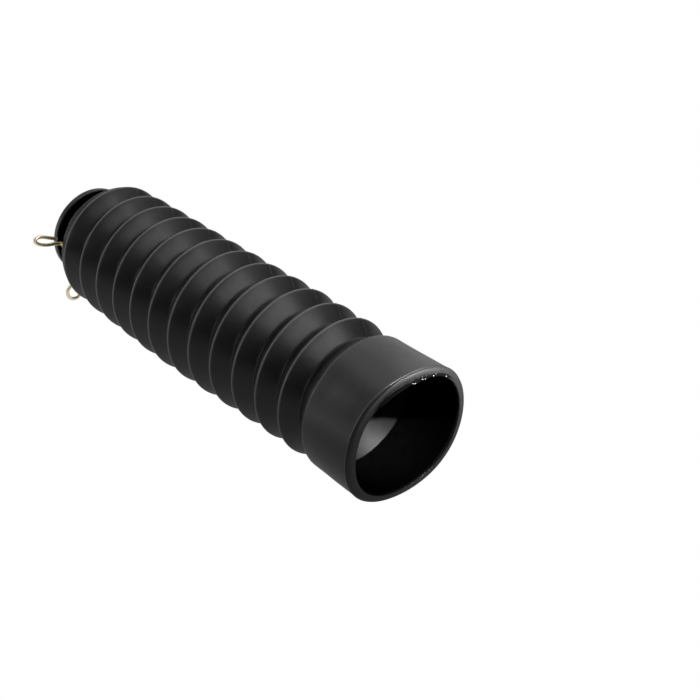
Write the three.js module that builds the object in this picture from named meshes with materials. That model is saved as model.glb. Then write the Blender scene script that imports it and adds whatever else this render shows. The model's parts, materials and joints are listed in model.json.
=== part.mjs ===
// Fork gaiter: a moulded rubber bellows with a wide cuff at one end and a grooved neck at the other,
// and the bent wire spring clip that sits in the neck groove.
// Millimetres, +Z up. The bellows lies on its side with its axis along X, cuff mouth towards +X.
import * as THREE from 'three';

// ---- driving dimensions ----
const overallLength = 219.4;    // cuff mouth to neck end
const cuffRadius = 31.1;        // outer radius of the plain cuff
const cuffBoreRadius = 27.1;    // inner radius of the plain cuff
const cuffLength = 29.7;        // mouth face to the cuff's rear edge
const cuffBoreDepth = 26.8;     // mouth face to the end of the plain bore
const shoulderDepth = 35.8;     // mouth face to the foot of the sloping shoulder behind the bore
const shoulderRadius = 22.0;    // inner radius at the foot of the shoulder, the narrowest place of the folds
const rimRound = 1.7;           // outer rounding of the cuff mouth
const lobeCount = 12;
const pitchAtCuff = 14.6;       // crest to crest, next to the cuff
const pitchAtNeck = 13.6;       // crest to crest, next to the neck
const crestRadius = 31.4;       // outer radius of the lobes
const crestTaper = 0.054;       // crest radius lost per squared step over the last lobes
const taperSteps = 6;           // number of lobes at the neck end that get smaller
const foldDepth = 5.6;          // crest radius minus valley radius
const crestLand = 1.0;          // width of the narrow edge on each crest
const wall = 1.9;               // wall of the folds
const grooveRadius = 19.0;      // floor of the clip groove
const grooveStart = 209.5;      // groove edge next to the first fold
const grooveEnd = 216.4;        // groove edge next to the end lip
const lipRadius = 21.3;         // outer radius of the end lip
const neckBoreRadius = 17.4;    // inner radius of the neck
const segments = 36;            // flats round the bellows, one of them facing down

const wireRadius = 0.9;         // clip wire
const clipGap = 0.25;           // between the wire and the groove floor
const clipFirst = 212.6;        // station of the wire where it enters the groove
const clipSecond = 210.55;      // station of the wire for the rest of its turn, against the last fold
const wireSides = 8;

// ---- stations along the axis, measured from the cuff mouth ----
const crests = [];
let station = cuffLength;
for (let i = 0; i < lobeCount; i++) {
  station += pitchAtCuff + (pitchAtNeck - pitchAtCuff) * i / (lobeCount - 1);
  const step = Math.max(0, i - (lobeCount - 1 - taperSteps));
  crests.push({ s: station, r: crestRadius - crestTaper * step * step });
}

// Closed profile of the bellows as [distance from the mouth, radius].
function bellowsProfile() {
  const p = [];
  // mouth face and rounded rim
  p.push([0.35, cuffBoreRadius], [0, cuffBoreRadius + 0.5], [0, cuffRadius - rimRound]);
  p.push([0.2, cuffRadius - 0.7], [0.75, cuffRadius - 0.2], [rimRound, cuffRadius]);
  // plain cuff and its rear edge
  p.push([cuffLength - 0.5, cuffRadius], [cuffLength + 0.3, cuffRadius - 0.45]);
  let before = { s: cuffLength, r: cuffRadius };
  for (const c of crests) {
    const valley = { s: (before.s + c.s) / 2, r: Math.min(before.r, c.r) - foldDepth };
    p.push([(before.s + valley.s) / 2 + 0.4, (before.r + valley.r) / 2 + 0.75]);
    p.push([valley.s, valley.r]);
    p.push([(valley.s + c.s) / 2 - 0.2, (valley.r + c.r) / 2 + 0.55]);
    p.push([c.s - crestLand / 2, c.r - 0.12], [c.s + crestLand / 2, c.r - 0.12]);
    before = c;
  }
  // last fold down to the groove, the groove and the end lip
  p.push([before.s + 4.2, before.r - 1.6], [before.s + 8.2, before.r - 4.0]);
  p.push([grooveStart - 0.4, grooveRadius + 2.6], [grooveStart, grooveRadius]);
  p.push([grooveEnd, grooveRadius], [grooveEnd, lipRadius - 0.5], [grooveEnd + 0.5, lipRadius]);
  p.push([overallLength - 0.9, lipRadius], [overallLength, lipRadius - 0.9]);
  // neck end face and neck bore
  p.push([overallLength, neckBoreRadius + 0.6], [overallLength - 0.6, neckBoreRadius]);
  p.push([grooveStart + 0.4, neckBoreRadius]);
  // inside of the folds, from the neck back to the cuff
  const last = crests[crests.length - 1];
  p.push([last.s + 8.0, last.r - 6.6]);
  for (let i = crests.length - 1; i >= 0; i--) {
    const c = crests[i];
    const prev = crests[i - 1];
    p.push([c.s, c.r - wall - 0.35]);
    if (i > 0) p.push([(prev.s + c.s) / 2, Math.min(prev.r, c.r) - foldDepth - wall]);
    else p.push([shoulderDepth + 2.6, shoulderRadius + 0.5]);
  }
  // sloping shoulder out to the cuff bore
  p.push([shoulderDepth, shoulderRadius], [cuffBoreDepth, cuffBoreRadius]);
  return p;
}

function finish(positions, index) {
  let volume = 0;
  for (let i = 0; i < index.length; i += 3) {
    const [a, b, c] = [index[i], index[i + 1], index[i + 2]].map((k) => positions.slice(3 * k, 3 * k + 3));
    volume += a[0] * (b[1] * c[2] - b[2] * c[1]) + a[1] * (b[2] * c[0] - b[0] * c[2]) + a[2] * (b[0] * c[1] - b[1] * c[0]);
  }
  if (volume < 0) for (let i = 0; i < index.length; i += 3) [index[i + 1], index[i + 2]] = [index[i + 2], index[i + 1]];
  const g = new THREE.BufferGeometry();
  g.setAttribute('position', new THREE.Float32BufferAttribute(positions, 3));
  g.setIndex(index);
  g.computeVertexNormals();
  return g;
}

// Closed profile revolved about the X axis.
function revolve(profile) {
  const n = profile.length;
  const positions = [];
  const index = [];
  for (let j = 0; j < segments; j++) {
    const a = -Math.PI / 2 + (j + 0.5) * 2 * Math.PI / segments;
    for (const [s, r] of profile) positions.push(overallLength / 2 - s, r * Math.cos(a), r * Math.sin(a));
  }
  for (let j = 0; j < segments; j++) {
    const k = (j + 1) % segments;
    for (let i = 0; i < n; i++) {
      const m = (i + 1) % n;
      index.push(j * n + i, j * n + m, k * n + m, j * n + i, k * n + m, k * n + i);
    }
  }
  return finish(positions, index);
}

// Round wire along a path, with flat ends.
function wire(points, radius, sides) {
  const n = points.length;
  const positions = [];
  const index = [];
  const tangent = (i) => points[Math.min(n - 1, i + 1)].clone().sub(points[Math.max(0, i - 1)]).normalize();
  let t = tangent(0);
  let u = new THREE.Vector3(1, 0, 0);
  u.sub(t.clone().multiplyScalar(u.dot(t))).normalize();
  for (let i = 0; i < n; i++) {
    const next = tangent(i);
    u.applyQuaternion(new THREE.Quaternion().setFromUnitVectors(t, next));
    t = next;
    u.sub(t.clone().multiplyScalar(u.dot(t))).normalize();
    const v = new THREE.Vector3().crossVectors(t, u);
    for (let k = 0; k < sides; k++) {
      const a = 2 * Math.PI * k / sides;
      const q = points[i].clone().addScaledVector(u, radius * Math.cos(a)).addScaledVector(v, radius * Math.sin(a));
      positions.push(q.x, q.y, q.z);
    }
  }
  for (let i = 0; i < n - 1; i++) {
    for (let k = 0; k < sides; k++) {
      const m = (k + 1) % sides;
      index.push(i * sides + k, i * sides + m, (i + 1) * sides + m, i * sides + k, (i + 1) * sides + m, (i + 1) * sides + k);
    }
  }
  for (let k = 1; k < sides - 1; k++) {
    index.push(0, k + 1, k);
    index.push((n - 1) * sides, (n - 1) * sides + k, (n - 1) * sides + k + 1);
  }
  return finish(positions, index);
}

// Clip: a looped ear, one turn and a bit round the groove, and a second looped ear.
// Ear points are [station, y, z] about the bellows axis.
const clipRadius = grooveRadius + clipGap + wireRadius;
const earSide = [
  [212.8, -22.6, 6.9], [212.6, -25.1, 8.2], [212.5, -27.7, 9.7], [212.4, -30.5, 11.2], [212.3, -33.0, 11.8],
  [212.3, -34.5, 10.9], [212.3, -33.7, 9.1], [212.3, -30.7, 7.0], [212.4, -27.3, 5.7], [212.5, -23.2, 4.7]];
const earLow = [
  [210.9, -17.4, -14.6], [211.6, -17.8, -17.6], [212.7, -18.1, -20.7], [213.1, -20.0, -23.0], [213.3, -20.2, -25.5],
  [213.3, -19.0, -28.0], [213.3, -16.6, -29.2], [213.2, -14.3, -28.6], [213.0, -12.4, -25.4], [212.8, -11.6, -22.9]];
const turnStart = 173;          // degrees, where the wire joins the groove after the side ear
const turnEnd = 215 + 360;      // degrees, where it leaves for the low ear

// Station of the wire at an angle of its turn: it starts beside its own end, then moves over against the last fold.
function wireStation(degrees) {
  const f = THREE.MathUtils.clamp((degrees - 215) / 85, 0, 1);
  return clipFirst - (clipFirst - clipSecond) * f * f * (3 - 2 * f);
}

function clipPath() {
  const key = earSide.map(([s, y, z]) => new THREE.Vector3(overallLength / 2 - s, y, z));
  const steps = 26;
  for (let i = 0; i <= steps; i++) {
    const f = i / steps;
    const turn = turnStart + (turnEnd - turnStart) * f;
    const a = THREE.MathUtils.degToRad(turn);
    const s = wireStation(turn);
    key.push(new THREE.Vector3(overallLength / 2 - s, clipRadius * Math.cos(a), clipRadius * Math.sin(a)));
  }
  for (const [s, y, z] of earLow) key.push(new THREE.Vector3(overallLength / 2 - s, y, z));
  const curve = new THREE.CatmullRomCurve3(key, false, 'centripetal');
  return curve.getPoints((key.length - 1) * 2);
}

function mesh(name, geometry, color, roughness, metalness) {
  const material = new THREE.MeshStandardMaterial({ color, roughness, metalness });
  material.name = name === 'bellows' ? 'rubber' : 'wire';
  const m = new THREE.Mesh(geometry, material);
  m.name = name;
  return m;
}

const bellows = mesh('bellows', revolve(bellowsProfile()), 0x17171a, 0.55, 0.0);
const clip = mesh('neck_clip', wire(clipPath(), wireRadius, wireSides), 0xc9bd92, 0.35, 1.0);

// Rest on the floor with the origin under the middle of the whole part.
const group = new THREE.Group();
group.name = 'fork_gaiter';
const box = new THREE.Box3();
for (const m of [bellows, clip]) {
  m.geometry.computeBoundingBox();
  box.union(m.geometry.boundingBox);
}
const middle = box.getCenter(new THREE.Vector3());
for (const m of [bellows, clip]) {
  m.geometry.translate(-middle.x, -middle.y, -box.min.z);
  group.add(m);
}

export default group;
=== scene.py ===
import json
import math

import bpy
import numpy as np
from mathutils import Matrix, Vector

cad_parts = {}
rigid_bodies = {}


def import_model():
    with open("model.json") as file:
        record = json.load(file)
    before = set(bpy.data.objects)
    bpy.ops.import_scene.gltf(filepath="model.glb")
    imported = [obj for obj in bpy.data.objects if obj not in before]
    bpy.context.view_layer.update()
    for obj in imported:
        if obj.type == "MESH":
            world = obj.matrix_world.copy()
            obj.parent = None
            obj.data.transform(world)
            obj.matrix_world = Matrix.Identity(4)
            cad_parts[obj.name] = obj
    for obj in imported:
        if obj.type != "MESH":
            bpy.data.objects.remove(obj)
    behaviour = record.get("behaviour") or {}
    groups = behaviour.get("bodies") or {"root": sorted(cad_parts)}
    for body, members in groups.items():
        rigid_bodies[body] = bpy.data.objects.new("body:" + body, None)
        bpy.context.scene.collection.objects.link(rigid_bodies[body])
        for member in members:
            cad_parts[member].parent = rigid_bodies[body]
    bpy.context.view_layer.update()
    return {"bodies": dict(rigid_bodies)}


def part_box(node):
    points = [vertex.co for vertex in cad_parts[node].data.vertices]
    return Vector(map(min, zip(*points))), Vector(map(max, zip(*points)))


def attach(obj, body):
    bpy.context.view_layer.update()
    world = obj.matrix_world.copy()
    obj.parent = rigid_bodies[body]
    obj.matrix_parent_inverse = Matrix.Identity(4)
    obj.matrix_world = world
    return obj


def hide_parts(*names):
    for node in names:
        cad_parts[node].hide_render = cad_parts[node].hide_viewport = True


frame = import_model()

MM = 0.001

# ---------------------------------------------------------------- places taken from the frame
b_lo, b_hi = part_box("bellows")
MOUTH_X = b_hi.x / MM                    # the cuff mouth, in mm
AXIS_Y = (b_lo.y + b_hi.y) / 2 / MM      # the bellows axis
AXIS_Z = (b_lo.z + b_hi.z) / 2 / MM

# ---------------------------------------------------------------- bellows, mm from the mouth and mm radius
LENGTH = 219.4
CUFF_REAR = 29.7
CREST_S = [44.0, 58.7, 73.3, 87.8, 102.1, 116.3, 130.4, 144.2, 157.7, 171.2, 184.8, 198.7]
CREST_R = [30.95, 30.95, 31.15, 31.2, 31.2, 31.2, 31.1, 30.9, 30.6, 30.35, 29.95, 29.25]
# how rounded each fold's mouth side and neck side are: a real moulding's folds differ a little
MOUTH_P = [1.08, 1.06, 1.07, 1.05, 1.08, 1.05, 1.07, 1.06, 1.05, 1.07, 1.06, 1.06]
NECK_P = [1.08, 1.10, 1.08, 1.09, 1.08, 1.10, 1.08, 1.08, 1.09, 1.08, 1.08, 1.08]
DEPTH = 5.6
WALL = 1.9
BEAD_HALF = 0.55
BEAD_DROP = 0.30
BORE_R = 27.15
RIM_R = 31.12
SHOULDER_S, SHOULDER_R = 36.0, 21.95           # foot of the sloping shoulder behind the plain bore
GROOVE_R = 19.0
GROOVE_A, GROOVE_B = 209.5, 216.4
LIP_R = 21.3
NECK_BORE_R = 17.4


def arc(cs, cr, radius_s, radius_r, a0, a1, n):
    """Points of a quarter-like arc, angle 0 towards the mouth and 90 outwards."""
    out = []
    for k in range(n + 1):
        a = math.radians(a0 + (a1 - a0) * k / n)
        out.append((cs - radius_s * math.cos(a), cr + radius_r * math.sin(a)))
    return out


def flank(cs, cr, vs, vr, p, n, start=BEAD_HALF, drop=BEAD_DROP, w=0.42):
    """From a crest down to a valley, both ends included: gentle by the crest, steeper towards the rounded valley."""
    side = 1 if vs > cs else -1
    half = abs(vs - cs) - start
    top = cr - drop
    deep = (top - vr) / (1 - w / half) ** p
    out = []
    for k in range(n + 1):
        x = 0.5 - 0.5 * math.cos(math.pi * (k / n) ** 0.9)
        d = half * (1 - x)
        de = min(half, math.sqrt(d * d + w * w * (1 - 0.9 * d / half)))
        out.append((cs + side * (start + half * x), top - deep * (1 - de / half) ** p))
    return out


def outer_profile():
    p = []
    # mouth: bore edge, slightly proud inner rim, face, rounding, shallow groove and fine raised mould line
    p += [(1.0, BORE_R + 0.03), (0.45, BORE_R + 0.05), (0.0, BORE_R + 0.12), (-0.27, BORE_R + 0.26), (-0.42, BORE_R + 0.52)]
    p += [(-0.46, BORE_R + 0.85), (-0.42, BORE_R + 1.35), (-0.33, BORE_R + 1.9), (-0.22, BORE_R + 2.4), (-0.08, BORE_R + 2.8)]
    p += [(0.10, RIM_R - 0.78), (0.32, RIM_R - 0.47), (0.56, RIM_R - 0.27), (0.78, RIM_R - 0.17), (0.96, RIM_R - 0.14)]
    p += [(1.10, RIM_R - 0.10), (1.22, RIM_R + 0.03), (1.34, RIM_R + 0.17), (1.48, RIM_R + 0.22), (1.62, RIM_R + 0.18)]
    p += [(1.76, RIM_R + 0.06), (1.92, RIM_R), (2.3, RIM_R - 0.01)]
    for k in range(1, 12):
        f = k / 12
        p.append((2.3 + (28.0 - 2.3) * f, RIM_R + (30.72 - RIM_R) * f + 0.05 * math.sin(math.pi * f)))
    p += arc(28.0, 30.72 - 1.9, -1.9, 1.9, 90, 25, 7)
    last = p[-1]
    v_s = (CUFF_REAR + CREST_S[0]) / 2
    v_r = CREST_R[0] - DEPTH + 0.1
    p += flank(last[0], last[1], v_s, v_r, 1.12, 10, start=0.0, drop=0.0)[1:]
    for i, (cs, cr) in enumerate(zip(CREST_S, CREST_R)):
        # up the mouth side of this fold, from the valley to the bead
        up = flank(cs, cr, v_s, v_r, MOUTH_P[i], 13)
        p += up[::-1][1:]
        p += [(cs - 0.46, cr - 0.22), (cs - 0.36, cr - 0.115), (cs - 0.22, cr - 0.035), (cs - 0.07, cr)]
        p += [(cs + 0.07, cr), (cs + 0.22, cr - 0.035), (cs + 0.36, cr - 0.115), (cs + 0.46, cr - 0.22)]
        if i < 11:
            v_s = (cs + CREST_S[i + 1]) / 2
            v_r = min(cr, CREST_R[i + 1]) - DEPTH
            p += flank(cs, cr, v_s, v_r, NECK_P[i], 12)
    # the last fold runs down to the clip's groove
    cs, cr = CREST_S[-1], CREST_R[-1]
    p += [(cs + 0.55, cr - 0.30), (cs + 1.6, cr - 0.60), (cs + 3.0, cr - 1.20), (cs + 4.6, cr - 2.05),
          (cs + 6.2, cr - 3.05), (cs + 7.6, cr - 4.10), (cs + 8.8, cr - 5.1), (cs + 9.7, cr - 6.05),
          (GROOVE_A - 0.50, 22.5), (GROOVE_A - 0.12, 21.8), (GROOVE_A + 0.05, 20.8), (GROOVE_A + 0.12, 19.7),
          (GROOVE_A + 0.45, GROOVE_R + 0.06), (GROOVE_A + 0.9, GROOVE_R)]
    for k in range(1, 6):
        p.append((GROOVE_A + 0.9 + (GROOVE_B - GROOVE_A - 1.8) * k / 6, GROOVE_R))
    p += [(GROOVE_B - 0.9, GROOVE_R), (GROOVE_B - 0.4, GROOVE_R + 0.07), (GROOVE_B - 0.12, GROOVE_R + 0.35),
          (GROOVE_B - 0.03, GROOVE_R + 0.8), (GROOVE_B, LIP_R - 0.75)]
    p += arc(GROOVE_B + 0.6, LIP_R - 0.6, 0.6, 0.6, 0, 90, 5)
    p += [(GROOVE_B + 1.5, LIP_R + 0.02), (LENGTH - 1.6, LIP_R)]
    p += arc(LENGTH - 0.9, LIP_R - 0.9, -0.9, 0.9, 90, 0, 7)
    return p


def inner_profile():
    p = [(LENGTH, 20.2), (LENGTH + 0.02, 19.2), (LENGTH, 18.2), (LENGTH - 0.1, 17.85), (LENGTH - 0.4, 17.55), (LENGTH - 0.8, NECK_BORE_R)]
    for k in range(1, 5):
        p.append((LENGTH - 0.8 + (GROOVE_A + 1.2 - LENGTH + 0.8) * k / 5, NECK_BORE_R))
    p += [(GROOVE_A + 1.0, NECK_BORE_R), (GROOVE_A + 0.5, NECK_BORE_R + 0.15), (GROOVE_A + 0.1, NECK_BORE_R + 0.6)]
    p += [(GROOVE_A - 1.0, 18.9), (GROOVE_A - 2.2, 20.4), (GROOVE_A - 4.0, 22.7), (GROOVE_A - 6.5, 25.0)]
    n = len(CREST_S)
    pts = []
    for i in range(n - 1, -1, -1):
        cs, cr = CREST_S[i], CREST_R[i] - WALL - 0.4
        prev_s, prev_r = (CREST_S[i - 1], CREST_R[i - 1]) if i else (CUFF_REAR, CREST_R[0])
        vs, vr = (cs + prev_s) / 2, min(CREST_R[i], prev_r) - DEPTH - WALL
        if not i:
            vs, vr = SHOULDER_S + 2.2, SHOULDER_R + 0.35
        for k in range(7 if i else 6):
            x = k / 6
            soft = 0.45 * x + 0.55 * x * x * (3 - 2 * x)
            pts.append((cs + (vs - cs) * x, cr + (vr - cr) * soft))
        if i:
            ps, pr = prev_s, prev_r - WALL - 0.4
            for k in range(1, 6):
                x = k / 6
                soft = 0.45 * x + 0.55 * x * x * (3 - 2 * x)
                pts.append((vs + (ps - vs) * x, vr + (pr - vr) * soft))
    p += pts
    # shoulder from the first fold out to the plain bore
    p += [(SHOULDER_S + 1.9, SHOULDER_R + 0.24), (SHOULDER_S + 0.9, SHOULDER_R + 0.03), (SHOULDER_S + 0.2, SHOULDER_R)]
    run, rise = SHOULDER_S - 27.0, 27.05 - SHOULDER_R
    for f in (0.04, 0.10, 0.18, 0.30, 0.42, 0.55, 0.68, 0.80, 0.90, 0.96):
        p.append((SHOULDER_S - run * f, SHOULDER_R + rise * (f - 0.02 * math.sin(math.pi * f))))
    p += [(27.05, 27.04), (26.85, 27.12), (26.4, BORE_R)]
    for k in range(1, 9):
        p.append((26.4 + (0.9 - 26.4) * k / 9, BORE_R))
    return p


PROFILE = outer_profile() + inner_profile()

# ---------------------------------------------------------------- how the soft tube lies
FACING = math.radians(132.3)                      # round the axis, from +Y towards +Z
SIDE = (math.cos(FACING + math.pi / 2), math.sin(FACING + math.pi / 2))   # down and towards -Y
BOW_S = [0, 15, 44, 59, 73, 88, 102, 116, 130, 144, 158, 171, 185, 199, 207, 221]
BOW = [0.02, -0.02, -0.3, -0.38, -0.4, -0.15, 0.2, 0.45, 0.57, 0.45, 0.2, 0.02, -0.22, -0.4, -0.6, -0.48]
LEAN_S = [0, 29, 44, 60, 185, 199, 208, 221]
LEAN = [0.0, 0.0, 0.022, 0.036, 0.036, 0.022, 0.0, 0.0]
SQUASH_S = [0, 12, 26, 37]
SQUASH = [0.020, 0.015, 0.005, 0.0]
SQUASH_AT = math.radians(78)
MOUTH_TILT = (-0.040, -0.030)                     # how far the mouth's face leans with y and z
LOBES = 0.45                                      # the soft mouth isn't a true circle: four slow bulges
LOBES_AT = math.radians(42)
SEAMS = (math.radians(59.5), math.radians(239.5))


def lie(s, a, r):
    """Where a point of the straight bellows lies, in row-frame mm."""
    r = r * (1 - np.interp(s, SQUASH_S, SQUASH) * np.cos(2 * (a - SQUASH_AT)))
    r = r + LOBES * np.interp(s, [0, 9, 22], [1, 0.75, 0]) * np.cos(4 * (a - LOBES_AT))
    y, z = r * np.cos(a), r * np.sin(a)
    across = y * SIDE[0] + z * SIDE[1]
    s = s - np.interp(s, LEAN_S, LEAN) * across
    near = np.clip(1 - s / 22.0, 0, 1)
    s = s + near * (MOUTH_TILT[0] * y + MOUTH_TILT[1] * z)
    off = np.interp(s, BOW_S, BOW)
    return np.stack([MOUTH_X - s, AXIS_Y + y + off * SIDE[0], AXIS_Z + z + off * SIDE[1]], -1)


def ripple(s, a, seed):
    """Slow, small unevenness of soft moulded rubber, from -1 to 1, seamless round the axis."""
    rng = np.random.default_rng(seed)
    v = np.zeros(np.broadcast(s, a).shape)
    for _ in range(14):
        k = rng.integers(1, 6)
        v = v + rng.uniform(0.4, 1) / k * np.sin(k * a + rng.uniform(0.02, 0.16) * s + rng.uniform(0, 6.28))
    return v / 3.0


def make_object(name, verts, faces, mats, smooth=True, mat_index=None):
    me = bpy.data.meshes.new(name)
    me.from_pydata([tuple(map(float, v)) for v in verts], [], [tuple(map(int, f)) for f in faces])
    me.validate()
    for m in mats:
        me.materials.append(m)
    if mat_index is not None:
        me.polygons.foreach_set("material_index", mat_index)
    me.polygons.foreach_set("use_smooth", [smooth] * len(me.polygons))
    me.update()
    o = bpy.data.objects.new(name, me)
    bpy.context.scene.collection.objects.link(o)
    return o


def outward(verts, faces):
    """Faces turned so that the closed body's volume is positive."""
    v = np.asarray(verts, float)
    vol = 0.0
    for f in faces:
        for i in range(1, len(f) - 1):
            vol += np.dot(v[f[0]], np.cross(v[f[i]], v[f[i + 1]]))
    return [tuple(reversed(f)) for f in faces] if vol < 0 else faces


# ---------------------------------------------------------------- materials
def new_material(name):
    m = bpy.data.materials.new(name)
    m.use_nodes = True
    nt = m.node_tree
    nt.nodes.clear()
    out = nt.nodes.new("ShaderNodeOutputMaterial")
    bsdf = nt.nodes.new("ShaderNodeBsdfPrincipled")
    nt.links.new(bsdf.outputs[0], out.inputs[0])
    return m, nt, bsdf


def node(nt, kind, **inputs):
    n = nt.nodes.new(kind)
    for k, v in inputs.items():
        if k in n.inputs:
            n.inputs[k].default_value = v
        else:
            setattr(n, k, v)
    return n


def ramp(nt, fac, stops):
    n = nt.nodes.new("ShaderNodeValToRGB")
    e = n.color_ramp.elements
    while len(e) < len(stops):
        e.new(0.5)
    for el, (pos, col) in zip(e, stops):
        el.position = pos
        el.color = (*col, 1) if isinstance(col, tuple) else (col, col, col, 1)
    nt.links.new(fac, n.inputs[0])
    return n


def rubber_material():
    m, nt, bsdf = new_material("rubber_black_satin")
    L = nt.links.new
    co = node(nt, "ShaderNodeTexCoord")
    fine = node(nt, "ShaderNodeTexNoise", Scale=1900.0, Detail=3.0, Roughness=0.6)
    mid = node(nt, "ShaderNodeTexNoise", Scale=260.0, Detail=4.0, Roughness=0.55)
    slow = node(nt, "ShaderNodeTexNoise", Scale=45.0, Detail=3.0, Roughness=0.5)
    for n in (fine, mid, slow):
        L(co.outputs["Object"], n.inputs["Vector"])
    # colour: black, a little greyer in cloudy patches
    mix = node(nt, "ShaderNodeMix", data_type="RGBA", blend_type="MIX")
    mix.inputs[6].default_value = (0.0013, 0.0013, 0.0014, 1)
    mix.inputs[7].default_value = (0.0026, 0.0026, 0.0026, 1)
    r0 = ramp(nt, slow.outputs[0], [(0.35, 0.0), (0.7, 1.0)])
    L(r0.outputs[0], mix.inputs[0])
    # crest edges mixed towards pale grey: partly wear and dust, partly a painted highlight along each crest
    wear_and_crest_highlight = node(nt, "ShaderNodeAttribute", attribute_name="wear_and_crest_highlight")
    mix2 = node(nt, "ShaderNodeMix", data_type="RGBA", blend_type="MIX")
    mix2.inputs[7].default_value = (0.088, 0.088, 0.088, 1)
    L(mix.outputs[2], mix2.inputs[6])
    L(wear_and_crest_highlight.outputs["Fac"], mix2.inputs[0])
    # torn shreds on the mouth's edge painted pale: painted glints
    painted_glint = node(nt, "ShaderNodeAttribute", attribute_name="painted_glint")
    mix3 = node(nt, "ShaderNodeMix", data_type="RGBA", blend_type="MIX")
    mix3.inputs[7].default_value = (0.20, 0.20, 0.195, 1)
    L(mix2.outputs[2], mix3.inputs[6])
    L(painted_glint.outputs["Fac"], mix3.inputs[0])
    L(mix3.outputs[2], bsdf.inputs["Base Color"])
    # satin: roughness drifts slightly
    r1 = ramp(nt, mid.outputs[0], [(0.3, 0.33), (0.7, 0.39)])
    L(r1.outputs[0], bsdf.inputs["Roughness"])
    bsdf.inputs["IOR"].default_value = 1.5
    b1 = node(nt, "ShaderNodeBump", Strength=0.10, Distance=0.00006)
    L(fine.outputs[0], b1.inputs["Height"])
    b2 = node(nt, "ShaderNodeBump", Strength=0.12, Distance=0.0004)
    L(mid.outputs[0], b2.inputs["Height"])
    L(b1.outputs[0], b2.inputs["Normal"])
    L(b2.outputs[0], bsdf.inputs["Normal"])
    return m


def wire_material():
    m, nt, bsdf = new_material("wire_yellow_zinc")
    L = nt.links.new
    co = node(nt, "ShaderNodeTexCoord")
    n1 = node(nt, "ShaderNodeTexNoise", Scale=500.0, Detail=4.0, Roughness=0.6)
    n2 = node(nt, "ShaderNodeTexNoise", Scale=140.0, Detail=2.0, Roughness=0.5)
    L(co.outputs["Object"], n1.inputs["Vector"])
    L(co.outputs["Object"], n2.inputs["Vector"])
    c = ramp(nt, n2.outputs[0], [(0.30, (0.95, 0.89, 0.72)), (0.48, (0.92, 0.82, 0.58)), (0.60, (0.95, 0.87, 0.66)), (0.72, (0.86, 0.78, 0.58))])
    L(c.outputs[0], bsdf.inputs["Base Color"])
    bsdf.inputs["Metallic"].default_value = 0.85
    r = ramp(nt, n1.outputs[0], [(0.3, 0.22), (0.7, 0.36)])
    L(r.outputs[0], bsdf.inputs["Roughness"])
    b = node(nt, "ShaderNodeBump", Strength=0.15, Distance=0.00005)
    L(n1.outputs[0], b.inputs["Height"])
    L(b.outputs[0], bsdf.inputs["Normal"])
    return m


def rubber_variant_material(name, base, rough, level):
    """Copies of the same rubber with their own colour, roughness and reflection strength, for the inside, the groove,
    behind the last fold and the mouth's rim; the darker, barely reflecting copies are painted shade and the paler matt
    copy behind the last fold is painted light and shade.
    """
    m, nt, bsdf = new_material(name)
    L = nt.links.new
    co = node(nt, "ShaderNodeTexCoord")
    mid = node(nt, "ShaderNodeTexNoise", Scale=300.0, Detail=4.0, Roughness=0.6)
    L(co.outputs["Object"], mid.inputs["Vector"])
    c = ramp(nt, mid.outputs[0], [(0.3, (base, base, base)), (0.7, (base * 1.8, base * 1.8, base * 1.8))])
    L(c.outputs[0], bsdf.inputs["Base Color"])
    bsdf.inputs["Roughness"].default_value = rough
    bsdf.inputs["IOR"].default_value = 1.5
    bsdf.inputs["Specular IOR Level"].default_value = level
    b = node(nt, "ShaderNodeBump", Strength=0.15, Distance=0.0003)
    L(mid.outputs[0], b.inputs["Height"])
    L(b.outputs[0], bsdf.inputs["Normal"])
    return m


RUBBER = rubber_material()
# bore and clip groove: near black and without any reflection, painted shade
RUBBER_PAINTED_SHADE = rubber_variant_material("rubber_painted_shade", 0.0002, 0.60, 0.0)
# inside the tube, the mouth's inner edge, just past the last crest and the flash: darker and barely reflecting,
# painted shade
RUBBER_MATT_PAINTED_SHADE = rubber_variant_material("rubber_matt_painted_shade", 0.0006, 0.46, 0.06)
RUBBER_EDGE = rubber_variant_material("rubber_black_edge", 0.0024, 0.50, 0.34)
# the last fold's rear flank: paler and barely reflecting, an even painted light and shade
RUBBER_REAR_PAINTED_LIGHT_SHADE = rubber_variant_material("rubber_rear_painted_light_shade", 0.0060, 0.50, 0.03)
WIRE = wire_material()

# ---------------------------------------------------------------- bellows mesh
columns = [2 * math.pi * k / 132 for k in range(132)]
for a0 in SEAMS:
    columns = [c for c in columns if abs((c - a0 + math.pi) % (2 * math.pi) - math.pi) > math.radians(1.3)]
    columns += [a0 + math.radians(d) for d in (-0.95, -0.5, -0.2, 0.2, 0.5, 0.95)]
columns = np.array(sorted(c % (2 * math.pi) for c in columns))
ps = np.array([q[0] for q in PROFILE])
pr = np.array([q[1] for q in PROFILE])
n_out = len(outer_profile())
A, S = np.meshgrid(columns, ps, indexing="ij")
R = np.repeat(pr[None, :], len(columns), 0)
is_outer = np.zeros_like(R)
is_outer[:, 8:n_out - 8] = 1.0
# seam ridge along both sides of the mould
ridge = np.zeros_like(A)
for a0 in SEAMS:
    d = np.abs((A - a0 + math.pi) % (2 * math.pi) - math.pi)
    ridge = np.maximum(ridge, np.clip(1 - d / math.radians(0.42), 0, 1))
in_fold = ((S > 34) & (S < 206)).astype(float)
R = R + is_outer * ridge * (0.10 + 0.10 * in_fold)
# slow unevenness, less on the cuff
body = np.interp(S, [0, 20, 40, 200, 210, 221], [0.3, 0.3, 1, 1, 0.2, 0.1])
R = R + 0.11 * body * ripple(S, A, 3)
XYZ = lie(S, A, R)
nA, nP = A.shape
verts = XYZ.reshape(-1, 3) * MM
faces = []
face_mats = []
bore_from = nP - 10                               # the bore's own rows are the last of the profile
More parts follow.
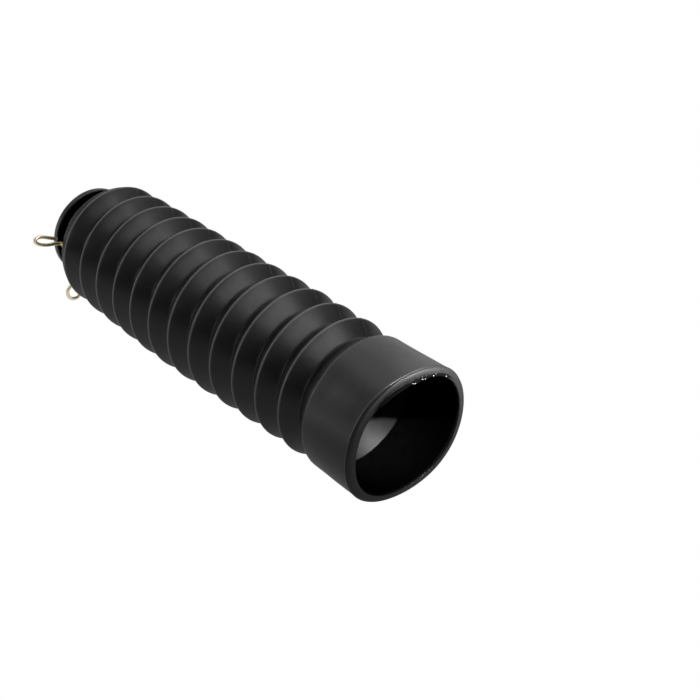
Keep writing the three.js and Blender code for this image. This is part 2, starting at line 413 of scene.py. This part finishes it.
# which rubber copy each profile row gets: painted shade in the bore, the groove, the inside, the mouth's inner edge
# and just past the last crest, the rougher copy on the mouth's rim, and painted light and shade on the last fold's
# rear flank
row_mat = np.zeros(nP, int)
row_mat[n_out + 12:] = 2
row_mat[bore_from:] = 1
row_mat[:16] = 3
row_mat[:4] = 2
row_mat[[i for i in range(n_out) if CREST_S[-1] + 0.5 < ps[i] <= CREST_S[-1] + 2.0]] = 2
row_mat[[i for i in range(n_out) if CREST_S[-1] + 2.0 < ps[i] <= GROOVE_A - 0.3]] = 4
row_mat[[i for i in range(n_out) if GROOVE_A - 0.3 < ps[i] < GROOVE_B]] = 1
for j in range(nA):
    k = (j + 1) % nA
    for i in range(nP):
        m = (i + 1) % nP
        faces.append((j * nP + i, j * nP + m, k * nP + m, k * nP + i))
        face_mats.append(int(row_mat[i]))
faces = outward(verts, faces)

# torn moulding flash along the top of the mouth's inner edge, with a few shreds painted pale as glints
FLASH_A = np.radians([38, 43, 49, 55, 61, 66, 73, 78, 83, 87, 92, 97, 102, 107, 112, 117, 121, 126, 131])
FLASH_R = np.array([27.9, 27.75, 27.5, 27.4, 27.2, 27.25, 26.7, 27.0, 26.25, 26.45, 26.45, 26.05, 25.95, 25.95, 26.0, 26.15, 26.35, 26.9, 27.7])
rng = np.random.default_rng(11)
fa = np.radians(np.arange(38, 131.01, 0.45))
nf = len(fa)
taper = np.clip(np.minimum(fa - fa[0], fa[-1] - fa) / math.radians(7), 0, 1)
torn = np.clip(np.minimum(fa - math.radians(52), math.radians(103) - fa) / math.radians(6), 0, 1)


def shred(amount, step):
    """Ragged steps along the flash: a value held and then broken off."""
    k = rng.normal(size=nf // step + 3)
    x = np.arange(nf) / step
    i = x.astype(int)
    f = np.clip((x - i) * 2.2, 0, 1)
    return amount * (k[i] * (1 - f) + k[i + 1] * f)


tip = np.interp(fa, FLASH_A, FLASH_R) + (0.04 + 0.20 * torn) * shred(1.0, 4) + 0.10 * torn * shred(1.0, 2)
lift = -0.50 - 0.10 * taper + (0.03 + 0.12 * torn) * shred(1.0, 5)
section = [
    (lift + 0.25, np.full(nf, 28.9) + 0.15 * torn * shred(1.0, 3)),
    (lift - 0.10 * torn + 0.12 * torn * shred(1.0, 3), np.full(nf, 28.3)),
    (lift + 0.02 + 0.15 * torn * shred(1.0, 3), (tip + 28.0) / 2),
    (lift + 0.06, tip + 0.22),
    (lift + 0.22, tip),
    (lift + 0.42, tip + 0.10),
    (lift * 0 + 0.30, (tip + 28.0) / 2 + 0.2),
    (lift * 0 + 0.60, np.full(nf, 28.6))]
m = len(section)
base = len(verts)
fin = []
for q in range(nf):
    for ss, rr in section:
        fin.append(lie(np.array(ss[q]), np.array(fa[q]), np.array(28.55 + (rr[q] - 28.55) * max(taper[q], 0.02))))
fin = np.array(fin)
verts = np.vstack([verts, fin * MM])
ff = []
for q in range(nf - 1):
    for k in range(m):
        k2 = (k + 1) % m
        ff.append((q * m + k, q * m + k2, (q + 1) * m + k2, (q + 1) * m + k))
ff.append(tuple(range(m))[::-1])
ff.append(tuple((nf - 1) * m + k for k in range(m)))
ff = outward(fin, ff)
faces += [tuple(base + v for v in f) for f in ff]
glint_shred_verts = []
for deg, rr, ss, long, thin in ((86.5, 26.55, -0.55, 0.62, 0.26), (88.2, 26.7, -0.5, 0.4, 0.2), (77.8, 27.25, -0.62, 0.45, 0.28), (74.5, 26.95, -0.5, 0.4, 0.2),
                                (65.5, 27.75, -0.7, 0.3, 0.24), (48.8, 27.9, -0.6, 0.3, 0.2)):
    a0 = math.radians(deg)
    first = len(verts)
    pts = []
    for i in range(5):
        th = math.pi * (i + 0.5) / 5
        for k in range(8):
            ph = 2 * math.pi * k / 8
            u = long * math.cos(th)
            v, w = thin * math.sin(th) * math.cos(ph), thin * math.sin(th) * math.sin(ph)
            pts.append(lie(np.array(ss + w), np.array(a0 + (u + 0.35 * v) / rr), np.array(rr + v + 0.3 * u)))
    verts = np.vstack([verts, np.array(pts) * MM])
    cf0 = [(i * 8 + k, i * 8 + (k + 1) % 8, (i + 1) * 8 + (k + 1) % 8, (i + 1) * 8 + k) for i in range(4) for k in range(8)]
    cf0 += [tuple(range(8))[::-1], tuple(32 + k for k in range(8))]
    faces += [tuple(first + v for v in f) for f in outward(pts, cf0)]
    glint_shred_verts += list(range(first, len(verts)))
# the flash gets the matt painted-shade copy; its shreds get the rubber with their painted glint colour
face_mats += [2] * len(ff) + [0] * (len(faces) - len(face_mats) - len(ff))    # flash, then its pale shreds
bellows = make_object("bellows_skin", verts, faces, [RUBBER, RUBBER_PAINTED_SHADE, RUBBER_MATT_PAINTED_SHADE, RUBBER_EDGE, RUBBER_REAR_PAINTED_LIGHT_SHADE], mat_index=face_mats)
# crest edges painted lighter: partly worn, dusty rubber, partly a painted highlight line along each crest
near_crest = np.zeros(nP)
for cs in CREST_S:
    near_crest = np.maximum(near_crest, np.clip(1 - np.abs(ps - cs) / 0.62, 0, 1) ** 0.5)
near_crest[n_out:] = 0
near_crest[:8] = 0
wear_and_crest_highlight = np.repeat(near_crest[None, :], nA, 0)
att = bellows.data.attributes.new("wear_and_crest_highlight", "FLOAT", "POINT")
att.data.foreach_set("value", np.concatenate([wear_and_crest_highlight.reshape(-1), np.zeros(len(verts) - wear_and_crest_highlight.size)]).astype(np.float32))
# painted glints: the shreds' vertices are mixed towards pale grey
glint_paint = np.zeros(len(verts), np.float32)
glint_paint[glint_shred_verts] = 1.0
att = bellows.data.attributes.new("painted_glint", "FLOAT", "POINT")
att.data.foreach_set("value", glint_paint)
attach(bellows, "root" if "root" in frame["bodies"] else sorted(frame["bodies"])[0])
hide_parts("bellows")

# ---------------------------------------------------------------- wire clip, same route as the frame's clip
WIRE_R = 0.9
CLIP_R = GROOVE_R + 0.45 + WIRE_R
EAR_SIDE = [
    (212.8, -22.6, 6.9), (212.6, -25.1, 8.2), (212.5, -27.7, 9.7), (212.4, -30.5, 11.2), (212.3, -33.0, 11.8),
    (212.3, -34.5, 10.9), (212.3, -33.7, 9.1), (212.3, -30.7, 7.0), (212.4, -27.3, 5.7), (212.5, -23.2, 4.7)]
EAR_LOW = [
    (210.9, -17.4, -14.6), (211.6, -17.8, -17.6), (212.7, -18.1, -20.7), (213.1, -20.0, -23.0), (213.3, -20.2, -25.5),
    (213.3, -19.0, -28.0), (213.3, -16.6, -29.2), (213.2, -14.3, -28.6), (213.0, -12.4, -25.4), (212.8, -11.6, -22.9)]
TURN_A, TURN_B = 173, 575                          # degrees round the groove
CLIP_S = (212.6, 210.55)                           # where the wire enters, and where it lies against the last fold


def wire_station(deg):
    f = min(1.0, max(0.0, (deg - 215) / 85))
    return CLIP_S[0] - (CLIP_S[0] - CLIP_S[1]) * f * f * (3 - 2 * f)


def clip_keys():
    keys = [Vector((MOUTH_X - s, y, z)) for s, y, z in EAR_SIDE]
    for i in range(27):
        deg = TURN_A + (TURN_B - TURN_A) * i / 26
        a = math.radians(deg)
        s = wire_station(deg)
        off = float(np.interp(s, BOW_S, BOW))         # the ring follows the groove where the tube is bowed
        keys.append(Vector((MOUTH_X - s, CLIP_R * math.cos(a) + off * SIDE[0], CLIP_R * math.sin(a) + off * SIDE[1])))
    keys += [Vector((MOUTH_X - s, y, z)) for s, y, z in EAR_LOW]
    return keys


def centripetal(keys, per):
    """Centripetal Catmull-Rom through the keys, per points a span."""
    pts = []
    n = len(keys)
    for i in range(n - 1):
        p1, p2 = keys[i], keys[i + 1]
        p0 = keys[i - 1] if i else p1 + (p1 - p2)
        p3 = keys[i + 2] if i + 2 < n else p2 + (p2 - p1)
        d0 = max(1e-4, (p1 - p0).length ** 0.5)
        d1 = max(1e-4, (p2 - p1).length ** 0.5)
        d2 = max(1e-4, (p3 - p2).length ** 0.5)
        t1 = ((p1 - p0) / d0 - (p2 - p0) / (d0 + d1) + (p2 - p1) / d1) * d1
        t2 = ((p2 - p1) / d1 - (p3 - p1) / (d1 + d2) + (p3 - p2) / d2) * d1
        for k in range(per):
            t = k / per
            pts.append(p1 * (2 * t ** 3 - 3 * t ** 2 + 1) + t1 * (t ** 3 - 2 * t ** 2 + t) + p2 * (-2 * t ** 3 + 3 * t ** 2) + t2 * (t ** 3 - t ** 2))
    pts.append(keys[-1].copy())
    return pts


def tube(points, radius, sides, end_round=0.35):
    """Closed round tube along points, ends cut with a small rounding."""
    n = len(points)
    tan = [(points[min(n - 1, i + 1)] - points[max(0, i - 1)]).normalized() for i in range(n)]
    rings = []
    u = Vector((1, 0, 0))
    u = (u - tan[0] * u.dot(tan[0])).normalized()
    prev = tan[0]
    frames = []
    for i in range(n):
        u = prev.rotation_difference(tan[i]) @ u
        u = (u - tan[i] * u.dot(tan[i])).normalized()
        prev = tan[i]
        frames.append((points[i], u.copy(), tan[i].cross(u)))
    def ring(c, u, v, r):
        return [c + u * (r * math.cos(2 * math.pi * k / sides)) + v * (r * math.sin(2 * math.pi * k / sides)) for k in range(sides)]
    c, u, v = frames[0]
    for back, f in ((0.0, 0.62), (0.06, 0.84), (0.18, 0.96)):
        rings.append(ring(c + tan[0] * (back * 1.0 - 0.0), u, v, radius * f))
    for i in range(1, n - 1):
        rings.append(ring(*frames[i], radius))
    c, u, v = frames[-1]
    for back, f in ((0.18, 0.96), (0.06, 0.84), (0.0, 0.62)):
        rings.append(ring(c - tan[-1] * back, u, v, radius * f))
    verts = [q for r in rings for q in r]
    faces = []
    for i in range(len(rings) - 1):
        for k in range(sides):
            m = (k + 1) % sides
            faces.append((i * sides + k, i * sides + m, (i + 1) * sides + m, (i + 1) * sides + k))
    faces.append(tuple(range(sides))[::-1])
    faces.append(tuple((len(rings) - 1) * sides + k for k in range(sides)))
    return verts, faces


clip_pts = [Vector((p.x, p.y + AXIS_Y, p.z + AXIS_Z)) for p in centripetal(clip_keys(), 8)]
cv, cf = tube(clip_pts, WIRE_R, 18)
cv = [v * MM for v in cv]
cf = outward(cv, cf)
clip = make_object("clip_wire", cv, cf, [WIRE])
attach(clip, "root" if "root" in frame["bodies"] else sorted(frame["bodies"])[0])
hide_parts("neck_clip")

# ---------------------------------------------------------------- floor
floor_z = min(v[2] for v in verts)
fm = bpy.data.materials.new("floor_white")
fm.use_nodes = True
fnt = fm.node_tree
fnt.nodes.clear()
f_out = fnt.nodes.new("ShaderNodeOutputMaterial")
f_mix = fnt.nodes.new("ShaderNodeMixShader")
f_path = fnt.nodes.new("ShaderNodeLightPath")
f_seen = fnt.nodes.new("ShaderNodeEmission")      # a white sweep in the picture
f_lit = fnt.nodes.new("ShaderNodeEmission")       # and a softer glow on the rubber
# how bright the floor is for the rubber that mirrors it: all over, and more towards -X, +X, -Y and +Y
FLOOR_GLOW = [0.328, 0.686, 0.000, 0.000, 0.000]
f_geo = fnt.nodes.new("ShaderNodeNewGeometry")
f_xyz = fnt.nodes.new("ShaderNodeSeparateXYZ")
fnt.links.new(f_geo.outputs["Position"], f_xyz.inputs[0])
f_sum = node(fnt, "ShaderNodeMath", operation="ADD")
f_sum.inputs[0].default_value = FLOOR_GLOW[0]
f_sum.inputs[1].default_value = 0.0
f_base = f_sum
f_terms = []
for (axis, a0, a1), glow in zip(((0, 0.10, -0.30), (0, -0.10, 0.30), (1, 0.05, -0.30), (1, -0.05, 0.30)), FLOOR_GLOW[1:]):
    f_range = fnt.nodes.new("ShaderNodeMapRange")
    f_range.interpolation_type = "SMOOTHSTEP"
    f_range.inputs["From Min"].default_value = min(a0, a1)
    f_range.inputs["From Max"].default_value = max(a0, a1)
    f_range.inputs["To Min"].default_value = 0.0 if a1 > a0 else 1.0
    f_range.inputs["To Max"].default_value = 1.0 if a1 > a0 else 0.0
    fnt.links.new(f_xyz.outputs[axis], f_range.inputs["Value"])
    f_mul = node(fnt, "ShaderNodeMath", operation="MULTIPLY_ADD")
    fnt.links.new(f_range.outputs[0], f_mul.inputs[0])
    f_mul.inputs[1].default_value = glow
    fnt.links.new(f_sum.outputs[0], f_mul.inputs[2])
    f_sum = f_mul
    f_terms.append(f_mul)
fnt.links.new(f_sum.outputs[0], f_lit.inputs[1])
fnt.links.new(f_path.outputs["Is Camera Ray"], f_mix.inputs[0])
fnt.links.new(f_lit.outputs[0], f_mix.inputs[1])
fnt.links.new(f_seen.outputs[0], f_mix.inputs[2])
fnt.links.new(f_mix.outputs[0], f_out.inputs[0])
floor = make_object("floor", [(-4, -4, floor_z), (4, -4, floor_z), (4, 4, floor_z), (-4, 4, floor_z)], [(0, 1, 2, 3)], [fm], smooth=False)

# ---------------------------------------------------------------- light
CENTRE = Vector((0.0, 0.0, 0.03))


def area(name, direction, distance, size, power, target=CENTRE):
    d = Vector(direction).normalized()
    data = bpy.data.lights.new(name, "AREA")
    data.shape = "RECTANGLE"
    data.size, data.size_y = size
    data.energy = power
    o = bpy.data.objects.new(name, data)
    o.location = target + d * distance
    o.rotation_euler = (-d).to_track_quat("-Z", "Y").to_euler()
    bpy.context.scene.collection.objects.link(o)
    return o


# soft boxes on a dome round the object: elevation and azimuth in degrees, and watts
DOME = [
    (8, 0, 2.00), (8, 30, 2.00), (28, 16, 2.00), (48, 40, 1.54), (48, 0, 1.25), (28, 180, 0.86), (8, 210, 0.71),
    (28, 147, 0.70), (28, 212, 0.69), (28, 278, 0.61), (48, 120, 0.55), (28, 114, 0.55), (68, 164, 0.53), (48, 160, 0.42),
    (48, 80, 0.33), (8, 240, 0.28), (48, 200, 0.27), (8, 120, 0.26), (28, 81, 0.22), (48, 320, 0.15), (8, 150, 0.11),
    (28, 311, 0.06), (28, 49, 0.06), (88, 0, 0.06), (68, 20, 0.01)]
for el, az, watts in DOME:
    e, a = math.radians(el), math.radians(az)
    area("dome_%d_%d" % (el, az), (math.cos(e) * math.cos(a), math.cos(e) * math.sin(a), math.sin(e)), 0.9, (0.40, 0.40), watts)

# a narrow soft spot that reaches the shoulder through the mouth
snoot_data = bpy.data.lights.new("snoot", "SPOT")
snoot_data.energy = 600.0
snoot_data.spot_size = math.radians(2.9)
snoot_data.spot_blend = 0.6
snoot_data.shadow_soft_size = 0.02
snoot = bpy.data.objects.new("snoot", snoot_data)
snoot_aim = Vector((MOUTH_X - 29.5, AXIS_Y + 8.5, AXIS_Z - 22.5)) * MM
snoot_dir = Vector((0.68, 0.10, 0.72)).normalized()
snoot.location = snoot_aim + snoot_dir * 0.5
snoot.rotation_euler = (-snoot_dir).to_track_quat("-Z", "Y").to_euler()
bpy.context.scene.collection.objects.link(snoot)

world = bpy.data.worlds.new("studio")
bpy.context.scene.world = world
world.use_nodes = True
wn = world.node_tree
wn.nodes.clear()
w_out = wn.nodes.new("ShaderNodeOutputWorld")
w_mix = wn.nodes.new("ShaderNodeMixShader")
w_path = wn.nodes.new("ShaderNodeLightPath")
w_seen = wn.nodes.new("ShaderNodeBackground")
w_seen.inputs[0].default_value = (1, 1, 1, 1)
w_lit = wn.nodes.new("ShaderNodeBackground")
w_lit.inputs[0].default_value = (0.0, 0.0, 0.0, 1)
wn.links.new(w_path.outputs["Is Camera Ray"], w_mix.inputs[0])
wn.links.new(w_lit.outputs[0], w_mix.inputs[1])
wn.links.new(w_seen.outputs[0], w_mix.inputs[2])
wn.links.new(w_mix.outputs[0], w_out.inputs[0])

# ---------------------------------------------------------------- camera, at the photograph's view
cam_data = bpy.data.cameras.new("camera")
cam = bpy.data.objects.new("camera", cam_data)
bpy.context.scene.collection.objects.link(cam)
cam_data.sensor_fit = "HORIZONTAL"
cam_data.sensor_width = 36.0
cam_data.lens = 77.14
cam_data.clip_start = 0.01
cam_data.clip_end = 50
cam_data.dof.use_dof = False
fwd = Vector((-0.60466, 0.55613, -0.57019)).normalized()
right = Vector((0.67695, 0.73603, 0.0)).normalized()
up = right.cross(fwd).normalized()
cam_at = Vector((MOUTH_X + 328.545, AXIS_Y - 333.330, AXIS_Z + 365.816)) * MM
cam.matrix_world = Matrix((
    (right.x, up.x, -fwd.x, cam_at.x),
    (right.y, up.y, -fwd.y, cam_at.y),
    (right.z, up.z, -fwd.z, cam_at.z),
    (0, 0, 0, 1)))
sc = bpy.context.scene
sc.camera = cam
sc.view_settings.view_transform = "Standard"
sc.view_settings.look = "None"
sc.view_settings.exposure = 0.0
sc.view_settings.gamma = 1.0
sc.cycles.use_denoising = True

bpy.context.view_layer.update()
